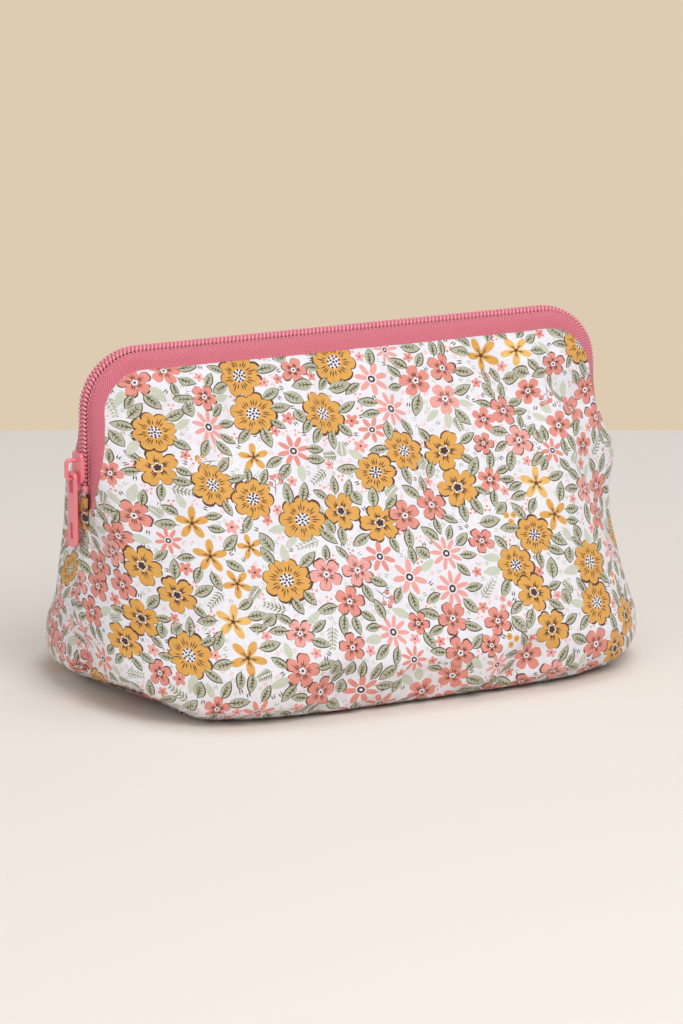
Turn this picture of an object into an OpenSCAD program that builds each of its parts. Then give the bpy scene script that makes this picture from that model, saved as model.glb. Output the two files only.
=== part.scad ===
// Zip-top wash and make-up bag of padded printed cotton.
// Origin at the centre of the underside, X along the zip, Z up, slider at the -X end.

/* [Overall size] */
// Widest width of the base, mm
width = 210; // [150:1:300]
// Widest depth of the base, mm
depth = 140; // [80:1:200]
// Height to the top of the zip, mm
height = 124; // [90:1:180]
// Inset of the zip's upright legs from the widest width, mm
zip_inset = 2.5; // [0:0.1:8]
// Height of the fold at the zip's ends, as a share of the whole height
fold_share = 0.5645; // [0.4:0.0005:0.65]
// Radius of the zip's two top corners, mm
zip_radius = 22; // [12:1:40]
// Radius of the rounded bottom edge, mm
base_radius = 14; // [6:1:25]

/* [Fabric layers] */
// Printed cotton thickness, mm
fabric_t = 0.8; // [0.4:0.1:1.5]
// Wadding thickness, mm
wadding_t = 3.0; // [1:0.1:6]
// Lining thickness, mm
lining_t = 0.5; // [0.3:0.1:1.5]
// Stiff base wadding thickness, mm
base_wadding_t = 4.0; // [1:0.1:8]
// Gap along the line where the front flap folds, mm
fold_gap = 0.3; // [0.3:0.05:1]

/* [Zip] */
// Half the flat width of the zip's top, between the panel edges, mm
strip_half = 4.2; // [4:0.1:8]
// Drop from the top of the zip to the panel edge, mm
strip_drop = 7; // [6:0.1:16]
// Inset of the panel edge where the upright legs meet the corners, mm
leg_inset = 5; // [3:0.1:12]
// Inset of the panel edge at the foot of the legs, mm
foot_inset = 0.2; // [0.1:0.05:2]
// Coil height, mm
coil_h = 2.2; // [1.5:0.1:3]
// Coil width to one side, mm
coil_w = 2.1; // [1.5:0.1:3]
// Half gap between the two coils, mm
coil_gap = 0.15; // [0.15:0.05:0.5]
// Half gap between the coils on the slider's leg, mm
leg_coil_gap = 0.9; // [0.8:0.05:1.5]
// Tape thickness, mm
tape_t = 0.7; // [0.4:0.1:1.2]
// Tab length over each end of the zip, mm
tab_length = 9; // [5:0.5:16]

/* [Slider] */
// Slider length, mm
slider_length = 11; // [8:0.5:16]
// Slider width, mm
slider_width = 7.6; // [5:0.1:12]
// Slider plate thickness, mm
plate_t = 1.1; // [0.8:0.1:2]
// Gap between the slider and the zip, mm
slider_gap = 0.35; // [0.3:0.05:1]
// Rise of the slider's lower end above the fold when the zip is shut, mm
slider_rise = 7; // [6:0.5:20]
// Bail wire width, mm
bail_w = 2; // [1.2:0.1:3]
// Bail reach out from the plate, mm
bail_reach = 4.6; // [3:0.1:7]
// Puller length, mm
puller_length = 27; // [15:0.5:45]
// Puller width, mm
puller_width = 6.6; // [4:0.1:10]
// Puller thickness, mm
puller_t = 1.3; // [0.8:0.1:2]
// Eye of the puller, mm
eye_length = 6.6; // [5:0.1:10]
// Puller slot length, mm
slot_length = 6; // [2:0.1:12]
// Puller slot width, mm
slot_width = 2.2; // [1:0.1:4]

/* [Hidden] */
eps = 0.01;
half_w = width / 2;
half_d = depth / 2;
zip_half = half_w - zip_inset;
fold_height = height * fold_share;
slider_rest = fold_height + slider_rise;
edge_half = zip_half - leg_inset;
edge_top = height - strip_drop;
edge_radius = zip_radius - leg_inset;
layer_a = fabric_t;
layer_b = fabric_t + wadding_t;
layer_c = fabric_t + wadding_t + lining_t;
floor_a = fabric_t;
floor_b = fabric_t + base_wadding_t;
floor_c = fabric_t + base_wadding_t + lining_t;
arc_z = height - zip_radius;
widest_z = base_radius + 5;
wall_cols = 32;
front_power = 1.08;
front_bulge = 0.03;
slider_x = -zip_half;
slider_mid = slider_rest + slider_length / 2;
bail_out = slider_x - slider_gap - plate_t - bail_reach;
pin_r = puller_t / 2;
pin_x = slider_x - slider_gap - plate_t - 1.65;
bail_wire = 1.4;
bail_tall = 8;
bail_z = slider_mid - bail_tall / 2 - 0.4;
pin_z = bail_z + bail_wire + pin_r + slider_gap;

// Piece to draw

cotton = [0.93, 0.90, 0.90];
felt = [0.95, 0.94, 0.90];
liner = [0.96, 0.90, 0.90];
zip_pink = [0.90, 0.50, 0.55];
enamel_pink = [0.95, 0.58, 0.62];

function lerp(a, b, u) = a + (b - a) * u;
function clamp01(u) = min(1, max(0, u));
function sgn(v) = v < 0 ? -1 : 1;

// Bottom rounding taken off each side at height z
function foot_cut(z) = z >= base_radius ? 0
    : base_radius - sqrt(base_radius * base_radius - (base_radius - z) * (base_radius - z));

// Half width of the body at height z, at the side
function body_a(z) = zip_half
    + (half_w - zip_half) * pow(clamp01((fold_height - 4 - z) / (fold_height - 4 - widest_z)), 1.6)
    - foot_cut(z);

// Half depth of the body at height z, at the middle
function wedge(u) = pow(1 - u, front_power) + front_bulge * sin(180 * u);
function body_b(z) = strip_half
    + (half_d - strip_half) * (z < widest_z ? 1 : wedge((z - widest_z) / (height - widest_z)))
    - foot_cut(z);

// Half width of the blunt side at height z
function side_e(z) = lerp(1, strip_half, clamp01(z / fold_height));

// Roundness of the section at height z
function pow_x(z) = lerp(4.6, 3, clamp01(z / height));
function pow_y(z) = lerp(2.8, 1.7, clamp01(z / height));

// Half width of the panel above the fold at height z
function edge_x(z) = z <= edge_top - edge_radius
    ? zip_half - lerp(foot_inset, leg_inset,
        clamp01((z - fold_height) / (edge_top - edge_radius - fold_height)))
    : edge_half - edge_radius
      + sqrt(max(0, edge_radius * edge_radius
          - (z - edge_top + edge_radius) * (z - edge_top + edge_radius)));

// Depth of the front surface at x and z
function face_y(x, z) = side_e(z) + (body_b(z) - side_e(z))
    * pow(max(0, 1 - pow(min(1, abs(x) / body_a(z)), pow_x(z))), 1 / pow_y(z));

// Outward direction of the section at x and depth y
function section_dir(x, y, z) =
    let (a = body_a(z), b = body_b(z) - side_e(z),
        v = max(0, y - side_e(z)),
        gx = pow_x(z) / a * pow(abs(x) / a, pow_x(z) - 1) * sgn(x),
        gy = v <= 0 ? 0 : pow_y(z) / b * pow(v / b, pow_y(z) - 1),
        l = sqrt(gx * gx + gy * gy))
    [gx / l, gy / l];

// Angle at which the section reaches half width x at height z
function start_angle(x, z) = acos(pow(min(1, x / body_a(z)), pow_x(z) / 2));

// One row of points across the front at height z, set in by off
function row(z, x_end, off) =
    let (t0 = start_angle(x_end, z), a = body_a(z), b = body_b(z) - side_e(z))
    [for (i = [0 : wall_cols])
        let (t = lerp(t0, 180 - t0, i / wall_cols),
            x = a * sgn(cos(t)) * pow(abs(cos(t)), 2 / pow_x(z)),
            y = side_e(z) + b * pow(abs(sin(t)), 2 / pow_y(z)),
            n = section_dir(x, y, z))
        [x - off * n[0], y - off * n[1], z]];

// Rows that reach right round to the side seam
function full_row(z, off) =
    let (r = row(z, body_a(z), off), l = len(r))
    concat([[r[0][0], 0, z]], r, [[r[l - 1][0], 0, z]]);

// Rows above the fold, closed to the same count of points
function flap_row(z, off) =
    let (r = row(z, edge_x(z), off), l = len(r))
    concat([r[0] + [0.01, -0.02, 0]], r, [r[l - 1] + [-0.01, -0.02, 0]]);

// Solid wall between an outer and an inner stack of rows
module wall(outer, inner, side) {
    rows = len(outer);
    cols = len(outer[0]);
    n = rows * cols;
    pts = [for (s = [outer, inner]) for (r = s) for (p = r) [p[0], side * p[1], p[2]]];
    skin_o = [for (j = [0 : rows - 2]) for (i = [0 : cols - 2])
        let (a = j * cols + i)
        for (f = [[a, a + 1, a + cols], [a + 1, a + cols + 1, a + cols]]) f];
    skin_i = [for (f = skin_o) [f[2] + n, f[1] + n, f[0] + n]];
    foot = [for (i = [0 : cols - 2])
        for (f = [[i, i + n, i + 1], [i + 1, i + n, i + 1 + n]]) f];
    top = (rows - 1) * cols;
    head = [for (i = [0 : cols - 2])
        for (f = [[top + i, top + i + 1, top + i + n],
            [top + i + 1, top + i + 1 + n, top + i + n]]) f];
    left = [for (j = [0 : rows - 2])
        let (a = j * cols, b = a + cols)
        for (f = [[a, b, a + n], [b, b + n, a + n]]) f];
    right = [for (j = [0 : rows - 2])
        let (a = j * cols + cols - 1, b = a + cols)
        for (f = [[a, a + n, b], [b, a + n, b + n]]) f];
    faces = concat(skin_o, skin_i, foot, head, left, right);
    polyhedron(pts, side > 0 ? [for (f = faces) [f[2], f[1], f[0]]] : faces, convexity = 8);
}

// Heights of the rows below and above the fold
function low_heights(z0) = concat(
    [for (z = [floor_a, lerp(floor_a, floor_b, 0.4), floor_b, floor_c]) if (z >= z0 - eps) z],
    [for (u = [1 : 3]) lerp(floor_c, widest_z, pow(u / 4, 1.2))],
    [for (u = [0 : 5]) lerp(widest_z, fold_height, u / 5)]);
function high_heights() = concat(
    [for (u = [0 : 4]) lerp(fold_height + fold_gap, edge_top - edge_radius, u / 4)],
    [for (u = [1 : 5]) edge_top - edge_radius * (1 - sin(16 * u))]);

module wall_low(z0, off_out, off_in, side) {
    zs = low_heights(z0);
    wall([for (z = zs) full_row(z, off_out)], [for (z = zs) full_row(z, off_in)], side);
}

module wall_high(off_out, off_in, side) {
    zs = high_heights();
    wall([for (z = zs) flap_row(z, off_out)], [for (z = zs) flap_row(z, off_in)], side);
}

module wall_whole(z0, off_out, off_in, side) {
    lo = low_heights(z0);
    hi = high_heights();
    wall(concat([for (z = lo) full_row(z, off_out)], [for (z = hi) flap_row(z, off_out)]),
        concat([for (z = lo) full_row(z, off_in)], [for (z = hi) flap_row(z, off_in)]), side);
}

// Outline of the base layers at height z
function base_outline(z, off) =
    let (r = full_row(z, off), l = len(r))
    concat([for (p = r) [p[0], p[1]]], [for (i = [l - 2 : -1 : 1]) [r[i][0], -r[i][1]]]);

module base_layer(z0, z1, z_size, off) {
    translate([0, 0, z0]) linear_extrude(z1 - z0) polygon(base_outline(z_size, off));
}

module base_panel() {
    color(cotton) base_layer(0, floor_a, floor_a, 0);
}

module base_wadding() {
    color(felt) base_layer(floor_a, floor_b, floor_a, layer_a);
}

module base_lining() {
    color(liner) base_layer(floor_b, floor_c, floor_b, layer_b);
}

module front_panel_lower() {
    color(cotton) wall_low(floor_a, 0, layer_a, -1);
}

module front_wadding_lower() {
    color(felt) wall_low(floor_b, layer_a, layer_b, -1);
}

module front_lining_lower() {
    color(liner) wall_low(floor_c, layer_b, layer_c, -1);
}

module front_panel_upper() {
    color(cotton) wall_high(0, layer_a, -1);
}

module front_wadding_upper() {
    color(felt) wall_high(layer_a, layer_b, -1);
}

module front_lining_upper() {
    color(liner) wall_high(layer_b, layer_c, -1);
}

module back_panel() {
    color(cotton) wall_whole(floor_a, 0, layer_a, 1);
}

module back_wadding() {
    color(felt) wall_whole(floor_b, layer_a, layer_b, 1);
}

module back_lining() {
    color(liner) wall_whole(floor_c, layer_b, layer_c, 1);
}

// Points along the zip's arch, set in by d, from the -X foot to the +X foot
function arch_points(half, top, r, z0) = concat(
    [[-half, z0], [-half, lerp(z0, top - r, 0.5)]],
    [for (u = [0 : 8]) [-half + r - r * cos(u * 90 / 8), top - r + r * sin(u * 90 / 8)]],
    [for (u = [1 : 7]) [lerp(-half + r, half - r, u / 8), top]],
    [for (u = [8 : -1 : 0]) [half - r + r * cos(u * 90 / 8), top - r + r * sin(u * 90 / 8)]],
    [[half, lerp(z0, top - r, 0.5)], [half, z0]]);

// Tape from under one coil, flat across, then down to the panel edge
module tape(side) {
    z0 = fold_height + fold_gap;
    d = coil_h + 0.1;
    up = arch_points(zip_half - d, height - d, zip_radius - d, z0);
    under = arch_points(zip_half - d - tape_t, height - d - tape_t, zip_radius - d - tape_t, z0);
    rim = [for (p = arch_points(edge_half, edge_top + 0.5, edge_radius, z0))
        p[1] < edge_top - edge_radius ? [sgn(p[0]) * edge_x(p[1]), p[1]] : p];
    y0 = leg_coil_gap;
    y1 = strip_half;
    cols = len(up);
    loop = [for (k = [0 : cols - 1])
        let (u = up[k], w = under[k], r = rim[k], f = face_y(r[0], min(r[1], edge_top)) - 0.45,
            x = sgn(r[0]) * min(abs(r[0]), zip_half - 1.2), l = norm([u[0] - w[0], u[1] - w[1]]),
            q = [x + (w[0] - u[0]) * tape_t / l, r[1] + (w[1] - u[1]) * tape_t / l])
        [[u[0], y0, u[1]], [u[0], y1, u[1]], [x, f, r[1]],
         [q[0], f - tape_t / 2, q[1]], [w[0], y1 - tape_t / 2, w[1]], [w[0], y0, w[1]]]];
    pts = [for (s = loop) for (p = s) [p[0], side * p[1], p[2]]];
    m = 6;
    skin = [for (k = [0 : cols - 2]) for (i = [0 : m - 1])
        let (a = k * m + i, b = k * m + (i + 1) % m)
        for (f = [[a, b, a + m], [b, b + m, a + m]]) f];
    last = (cols - 1) * m;
    caps = [[5, 1, 0], [5, 4, 1], [4, 2, 1], [4, 3, 2],
        [last, last + 1, last + 5], [last + 1, last + 4, last + 5],
        [last + 1, last + 2, last + 4], [last + 2, last + 3, last + 4]];
    faces = concat(skin, caps);
    polyhedron(pts, side > 0 ? faces : [for (f = faces) [f[2], f[1], f[0]]], convexity = 6);
}

module zip_tape_front() {
    color(zip_pink) tape(-1);
}

module zip_tape_back() {
    color(zip_pink) tape(1);
}

// Coil of one side as a plain band round the arch
module coil(side) {
    z0 = slider_rest - slider_gap;
    s = side > 0 ? 0 : -1;
    straight = 2 * (zip_half - zip_radius);
    wide_y = side > 0 ? leg_coil_gap : -leg_coil_gap - coil_w;
    thin_y = side > 0 ? coil_gap : -coil_gap - coil_w;
    translate([-zip_half, wide_y, z0]) cube([coil_h, coil_w, arc_z - z0]);
    translate([zip_half - coil_h, thin_y, z0]) cube([coil_h, coil_w, arc_z - z0]);
    translate([-straight / 2, thin_y, height - coil_h]) cube([straight, coil_w, coil_h]);
    for (m = [0, 1])
        translate([m == 0 ? straight / 2 : -straight / 2, 0, arc_z]) rotate([90, 0, 0])
            translate([0, 0, -thin_y - coil_w])
            rotate_extrude(angle = 90, start = m * 90, $fn = 96)
            translate([zip_radius - coil_h, 0]) square([coil_h, coil_w]);
}

module zip_coil_front() {
    color(zip_pink) coil(-1);
}

module zip_coil_back() {
    color(zip_pink) coil(1);
}

// Fabric tab folded over one end of the zip
module end_tab(side) {
    reach = 0.9;
    rise = fold_height - fold_gap;
    x0 = body_a(rise - tab_length) + 0.08;
    translate([side > 0 ? x0 : -x0 - reach, -strip_half - 1.2, rise - tab_length])
        cube([reach, 2 * strip_half + 2.4, tab_length]);
}

module zip_end_tab_left() {
    color(cotton) end_tab(-1);
}

module zip_end_tab_right() {
    color(cotton) end_tab(1);
}

stop_h = 3.4;
stop_z = slider_rest - slider_gap - 0.35 - stop_h;

// Small crimped stop at the foot of one coil on the slider's leg
module leg_stop(side) {
    y0 = side > 0 ? 0.5 : -3.2;
    translate([-zip_half - 0.2, y0, stop_z]) cube([coil_h + 0.2, 2.7, stop_h]);
}

module zip_stop_front() {
    color(enamel_pink) leg_stop(-1);
}

module zip_stop_back() {
    color(enamel_pink) leg_stop(1);
}

module zip_stop_end() {
    color(enamel_pink) {
        translate([zip_half - coil_h, 0.3, stop_z]) cube([coil_h + 0.4, 3, stop_h]);
    }
}

// Slider: outer plate, inner plate and the post that parts the coils
module slider_body() {
    plate_out = slider_x - slider_gap - plate_t;
    plate_in = slider_x + coil_h + 0.1 + tape_t + slider_gap;
    color(enamel_pink) {
        for (x = [plate_out, plate_in])
            translate([x, 0, slider_rest]) rotate([90, 0, 90]) linear_extrude(plate_t)
                slider_outline();
        translate([plate_out + plate_t - eps, -0.5, slider_rest])
            cube([plate_in - plate_out - plate_t + 2 * eps, 1, 2.6]);
    }
}

module slider_outline() {
    w = slider_width;
    l = slider_length;
    difference() {
        union() {
            translate([-w * 0.36, 0]) square([w * 0.72, l]);
            translate([-w / 2, 1.6]) square([w, l - 3.2]);
            for (x = [-1, 1]) for (z = [1.6, l - 1.6])
                translate([x * (w / 2 - 1.6), z]) circle(r = 1.6, $fn = 40);
        }
        translate([0, l + w * 0.42]) circle(r = w * 0.5, $fn = 60);
    }
}

// Raised C-shaped bail that holds the puller
module slider_bail() {
    foot = slider_x - slider_gap - plate_t;
    color(enamel_pink) translate([0, bail_w / 2, 0]) rotate([90, 0, 0]) linear_extrude(bail_w)
        difference() {
            translate([foot - bail_reach, bail_z])
                rounded_side(bail_reach, bail_tall, 2);
            translate([foot - bail_reach + bail_wire, bail_z + bail_wire])
                rounded_side(bail_reach - bail_wire + 1, bail_tall - 2 * bail_wire, 0.8);
        }
}

// Plain box with its -X corners rounded
module rounded_side(w, h, r) {
    translate([r, 0]) square([w - r, h]);
    translate([0, r]) square([w, h - 2 * r]);
    for (z = [r, h - r]) translate([r, z]) circle(r = r, $fn = 40);
}

// Puller: a bar in the bail, two arms and a strap with a slot and a round end
module puller() {
    arm = (puller_width - bail_w - 1.6) / 2;
    color(enamel_pink) {
        translate([pin_x, 0, pin_z]) rotate([90, 0, 0])
            cylinder(r = pin_r, h = puller_width - eps, center = true, $fn = 40);
        for (s = [-1, 1])
            translate([pin_x - pin_r, s * (puller_width - arm) / 2 - arm / 2, pin_z - eye_length - 0.5])
                cube([puller_t, arm, eye_length + 0.5]);
        translate([pin_x - pin_r, 0, pin_z]) rotate([90, 0, 90]) linear_extrude(puller_t)
            strap_outline();
    }
}

module strap_outline() {
    l = puller_length - pin_r;
    w = puller_width;
    r = w * 0.38;
    difference() {
        union() {
            translate([-w / 2, -l + r]) square([w, l - r - eye_length]);
            translate([-w / 2 + r, -l]) square([w - 2 * r, r + 1]);
            for (x = [-1, 1]) translate([x * (w / 2 - r), -l + r]) circle(r = r, $fn = 48);
        }
        translate([-slot_width / 2, -l + 3 + slot_width / 2])
            square([slot_width, slot_length - slot_width]);
        for (z = [0, slot_length - slot_width])
            translate([0, -l + 3 + slot_width / 2 + z]) circle(r = slot_width / 2, $fn = 32);
    }
}

base_panel();
base_wadding();
base_lining();
front_panel_lower();
front_wadding_lower();
front_lining_lower();
front_panel_upper();
front_wadding_upper();
front_lining_upper();
back_panel();
back_wadding();
back_lining();
zip_tape_front();
zip_tape_back();
zip_coil_front();
zip_coil_back();
zip_end_tab_left();
zip_end_tab_right();
zip_stop_front();
zip_stop_back();
zip_stop_end();
slider_body();
slider_bail();
puller();
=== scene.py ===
import math
import random

import bpy
import bmesh
import numpy as np
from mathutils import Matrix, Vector, kdtree, noise
from mathutils.geometry import delaunay_2d_cdt


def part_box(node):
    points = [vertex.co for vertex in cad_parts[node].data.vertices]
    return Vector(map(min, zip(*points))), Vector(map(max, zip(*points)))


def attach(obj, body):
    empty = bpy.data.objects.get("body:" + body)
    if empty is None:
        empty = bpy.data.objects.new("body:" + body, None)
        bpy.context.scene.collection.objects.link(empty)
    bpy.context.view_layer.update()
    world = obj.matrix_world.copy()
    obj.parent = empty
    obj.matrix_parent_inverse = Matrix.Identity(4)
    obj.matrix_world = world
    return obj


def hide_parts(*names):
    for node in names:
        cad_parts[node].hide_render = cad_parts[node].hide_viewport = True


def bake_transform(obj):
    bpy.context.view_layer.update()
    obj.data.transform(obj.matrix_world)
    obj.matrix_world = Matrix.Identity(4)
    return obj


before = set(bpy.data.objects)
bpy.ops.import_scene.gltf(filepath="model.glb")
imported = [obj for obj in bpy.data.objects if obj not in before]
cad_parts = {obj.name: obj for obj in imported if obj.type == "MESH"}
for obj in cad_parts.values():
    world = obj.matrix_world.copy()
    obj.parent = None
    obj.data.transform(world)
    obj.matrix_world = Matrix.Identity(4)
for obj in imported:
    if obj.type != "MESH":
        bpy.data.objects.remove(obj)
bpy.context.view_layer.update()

MM = 0.001

# Sizes of the bag in millimetres, the same as in the part's source
WIDTH, DEPTH, HEIGHT = 210.0, 140.0, 124.0
ZIP_HALF, FOLD, ZIP_R = 102.5, 70.0, 22.0
STRIP, DROP, LEG_INSET, FOOT_INSET = 4.2, 7.0, 5.0, 0.2
BASE_R = 14.0
EDGE_TOP = HEIGHT - DROP
EDGE_HALF = ZIP_HALF - LEG_INSET
EDGE_R = ZIP_R - LEG_INSET
WIDEST = BASE_R + 5.0
COIL_H, COIL_PITCH = 2.2, 1.5
COIL_SEAT = COIL_H + 0.1
TAPE_FOOT = FOLD - 4
FOOT = 0.9

# The photograph's view: direction in radians, distance and target in metres, lens in mm
VIEW_TURN, VIEW_DROP = math.radians(26.8), math.radians(13.4)
VIEW_DISTANCE, LENS, SHIFT = 1.73, 169.2021, (-0.0009375, -0.0123047)
TARGET = Vector((0, 0, 0.06))


def srgb(r, g, b):
    """Linear colour from 0-255 display values."""
    out = []
    for c in (r, g, b):
        c = c / 255.0
        out.append(c / 12.92 if c <= 0.04045 else ((c + 0.055) / 1.055) ** 2.4)
    return (*out, 1.0)


def share(value, start, end):
    """How far value is on its way from start to end, between 0 and 1."""
    return min(1.0, max(0.0, (value - start) / (end - start)))


def polar(r, angle):
    return r * math.cos(angle), r * math.sin(angle)


def lengths(points):
    """Length so far along a path of points."""
    return np.concatenate([[0], np.cumsum(np.hypot.reduce(np.diff(points, axis=0), axis=1))])


# ---- body shape

def foot_cut(z):
    d = max(0.0, BASE_R - z)
    return BASE_R - math.sqrt(max(0.0, BASE_R ** 2 - d * d))


def body_a(z):
    u = share(z, FOLD - 4, WIDEST)
    return ZIP_HALF + (WIDTH / 2 - ZIP_HALF) * u ** 1.6 - foot_cut(z)


def body_b(z):
    u = share(z, WIDEST, HEIGHT)
    g = (1 - u) ** 1.08 + 0.03 * math.sin(math.pi * u)
    return STRIP + (DEPTH / 2 - STRIP) * g - foot_cut(z)


def side_e(z):
    return 1 + (STRIP - 1) * min(1.0, z / FOLD)


def pow_x(z):
    return 4.6 + (3 - 4.6) * min(1.0, z / HEIGHT)


def pow_y(z):
    return 2.8 + (1.7 - 2.8) * min(1.0, z / HEIGHT)


def edge_x(z):
    """Half width of the panel's edge beside the zip."""
    if z <= EDGE_TOP - EDGE_R:
        u = share(z, FOLD, EDGE_TOP - EDGE_R)
        return ZIP_HALF - (FOOT_INSET + (LEG_INSET - FOOT_INSET) * u)
    d = min(EDGE_R, z - EDGE_TOP + EDGE_R)
    return EDGE_HALF - EDGE_R + math.sqrt(max(0.0, EDGE_R ** 2 - d * d))


def corner_heights(degrees):
    """Heights of the panel's edge round its top corner, at these degrees of the corner's arc."""
    return [EDGE_TOP - EDGE_R * (1 - math.sin(math.radians(k))) for k in degrees]


def section(z, n=360):
    """Half of the section at height z, from the left seam to the right one, y positive."""
    a, b, e = body_a(z), body_b(z) - side_e(z), side_e(z)
    t = np.linspace(0, math.pi, n)
    c, s = np.cos(t), np.sin(t)
    x = -a * np.sign(c) * np.abs(c) ** (2 / pow_x(z))
    y = e + b * np.abs(s) ** (2 / pow_y(z))
    return np.vstack([[[-a, 0]], np.stack([x, y], 1), [[a, 0]]])


class Wall:
    """The outer surface of one side as a grid over w (-1 to 1 round the side) and height."""

    def __init__(self, side, sag=None):
        self.side = side
        self.zs = np.concatenate([np.linspace(0.0, BASE_R, 22)[:-1],
                                  np.linspace(BASE_R, EDGE_TOP + 2.5, 70)])
        self.ws = np.linspace(-1, 1, 241)
        rows, half = [], []
        for z in self.zs:
            p = section(z)
            d = lengths(p)
            w = 2 * d / d[-1] - 1
            rows.append(np.stack([np.interp(self.ws, w, p[:, 0]),
                                  side * np.interp(self.ws, w, p[:, 1]),
                                  np.full_like(self.ws, z)], 1))
            half.append(d[-1] / 2)
        self.flat = np.array(rows)
        self.half = np.array(half)
        self.v = lengths(self.flat[:, len(self.ws) // 2, 1:])
        self.points = self.flat.copy()
        if sag is not None:
            self.points = self.points + sag(self)
        self.normals = self.find_normals(self.points)

    def find_normals(self, p):
        dw = np.gradient(p, axis=1)
        dz = np.gradient(p, axis=0)
        n = np.cross(dw, dz) * (1 if self.side < 0 else -1)
        return n / np.maximum(np.linalg.norm(n, axis=2, keepdims=True), 1e-9)

    def sample(self, grid, w, z):
        fj = np.interp(z, self.zs, np.arange(len(self.zs)))
        fi = (np.clip(w, -1, 1) + 1) / 2 * (len(self.ws) - 1)
        j = np.clip(fj.astype(int), 0, len(self.zs) - 2)
        i = np.clip(fi.astype(int), 0, len(self.ws) - 2)
        a, b = (fj - j)[:, None], (fi - i)[:, None]
        return ((1 - a) * ((1 - b) * grid[j, i] + b * grid[j, i + 1])
                + a * ((1 - b) * grid[j + 1, i] + b * grid[j + 1, i + 1]))

    def at(self, w, z, off=0.0):
        """Points at w and z, set in by off along the normal."""
        w, z = np.asarray(w, float), np.asarray(z, float)
        n = self.sample(self.normals, w, z)
        n /= np.maximum(np.linalg.norm(n, axis=1, keepdims=True), 1e-9)
        return self.sample(self.points, w, z) - np.reshape(off, (-1, 1)) * n, n

    def uv_to_wz(self, u, v):
        z = np.interp(v, self.v, self.zs)
        return u / np.interp(z, self.zs, self.half), z

    def edge_w(self, z):
        """w of the panel's edge at height z: the side seam below the zip, the zip's strip above."""
        if z <= FOLD - 6:
            return 1.0
        row, mid = self.row(max(z, FOLD)), len(self.ws) // 2
        w = float(np.interp(edge_x(max(z, FOLD)), row[mid:, 0], self.ws[mid:]))
        return w if z >= FOLD else 1 + (w - 1) * (z - FOLD + 6) / 6

    def row(self, z):
        """The row of the grid at height z."""
        k = float(np.interp(z, self.zs, np.arange(len(self.zs))))
        j = min(int(k), len(self.zs) - 2)
        return self.flat[j] * (1 - k + j) + self.flat[j + 1] * (k - j)

    def outline(self, z0, step=1.2):
        """The panel's outline in flat coordinates (u, v), counter-clockwise from the lower left."""
        right = []
        for z in [*np.arange(z0, EDGE_TOP - EDGE_R, step), *corner_heights(range(2, 89, 5)), EDGE_TOP]:
            half = float(np.interp(z, self.zs, self.half))
            right.append((self.edge_w(z) * half, float(np.interp(z, self.zs, self.v))))
        left = [(-u, v) for u, v in right]
        top = [(u, right[-1][1]) for u in np.linspace(right[-1][0], left[-1][0], 150)[1:-1]]
        foot = [(u, left[0][1]) for u in np.linspace(left[0][0], right[0][0], 200)[1:-1]]
        return left[:1] + foot + right + top + left[:0:-1]


# ---- the print

WHITE = srgb(238, 236, 243)
MUSTARD = srgb(227, 168, 82)
HONEY = srgb(238, 190, 108)
CORAL = srgb(231, 148, 134)
PINK = srgb(240, 168, 160)
BLUSH = srgb(248, 190, 188)
SAGE = srgb(186, 188, 164)
SAGE_PALE = srgb(206, 210, 192)
OLIVE = srgb(94, 78, 52)
BROWN = srgb(92, 56, 40)
INK = srgb(72, 46, 42)


def turned(points, angle, x=0.0, y=0.0, scale=1.0):
    c, s = math.cos(angle) * scale, math.sin(angle) * scale
    return [(x + c * px - s * py, y + s * px + c * py) for px, py in points]


def blossom(petals, r, valley, sharp, per=7, notch=0.0):
    """Outline of a flower: rounded petals with valleys between them and a notch at each tip."""
    pts = []
    for k in range(petals * per):
        t = 2 * math.pi * k / (petals * per)
        s = abs(math.sin(petals * t / 2))
        f = s ** sharp - notch * max(0.0, s - 0.93) / 0.07
        pts.append(polar(r * (valley + (1 - valley) * f), t))
    return pts


def drawn(outline, x=0.22, y=-0.24, grow=1.075, turn=0.03):
    """The outline's dark line, a little off the colour as in a two-plate print."""
    return (BROWN, turned(outline, turn, x, y, grow))


def disc(r, n=7, x=0.0, y=0.0):
    return turned([polar(r, 2 * math.pi * k / n) for k in range(n)], 0, x, y)


def kite(x0, y0, x1, y1, width):
    """A thin tapering stroke from one point to another."""
    d = math.hypot(x1 - x0, y1 - y0) or 1
    nx, ny = -(y1 - y0) / d * width / 2, (x1 - x0) / d * width / 2
    mx, my = x0 + (x1 - x0) * 0.4, y0 + (y1 - y0) * 0.4
    return [(x0, y0), (mx - nx, my - ny), (x1, y1), (mx + nx, my + ny)]


def streaks(petals, r0, r1, width, rng, each=3, spread=0.2):
    """Strokes that run out from the middle over each petal, between radii r0 and r1."""
    out = []
    for k in range(petals):
        mid = math.pi * (2 * k + 1) / petals
        for j in range(each):
            a = mid + (j - (each - 1) / 2) * spread + rng.uniform(-0.03, 0.03)
            e = r1 * (1.0 if j == each // 2 else 0.82) * rng.uniform(0.85, 1.1)
            out.append(kite(*polar(r0, a), *polar(e, a), width))
    return out


def mustard_flower(rng, r=7.2):
    shape = blossom(5, r, 0.56, 0.55, 10, 0.22)
    art = [drawn(shape), (MUSTARD, shape)]
    art += [(BROWN, s) for s in streaks(5, r * 0.2, r * 0.7, 0.52, rng, 4, 0.19)]
    art += [(WHITE, blossom(5, r * 0.3, 0.5, 0.8, 3)), (INK, blossom(5, r * 0.21, 0.7, 0.8, 3))]
    return art


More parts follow.
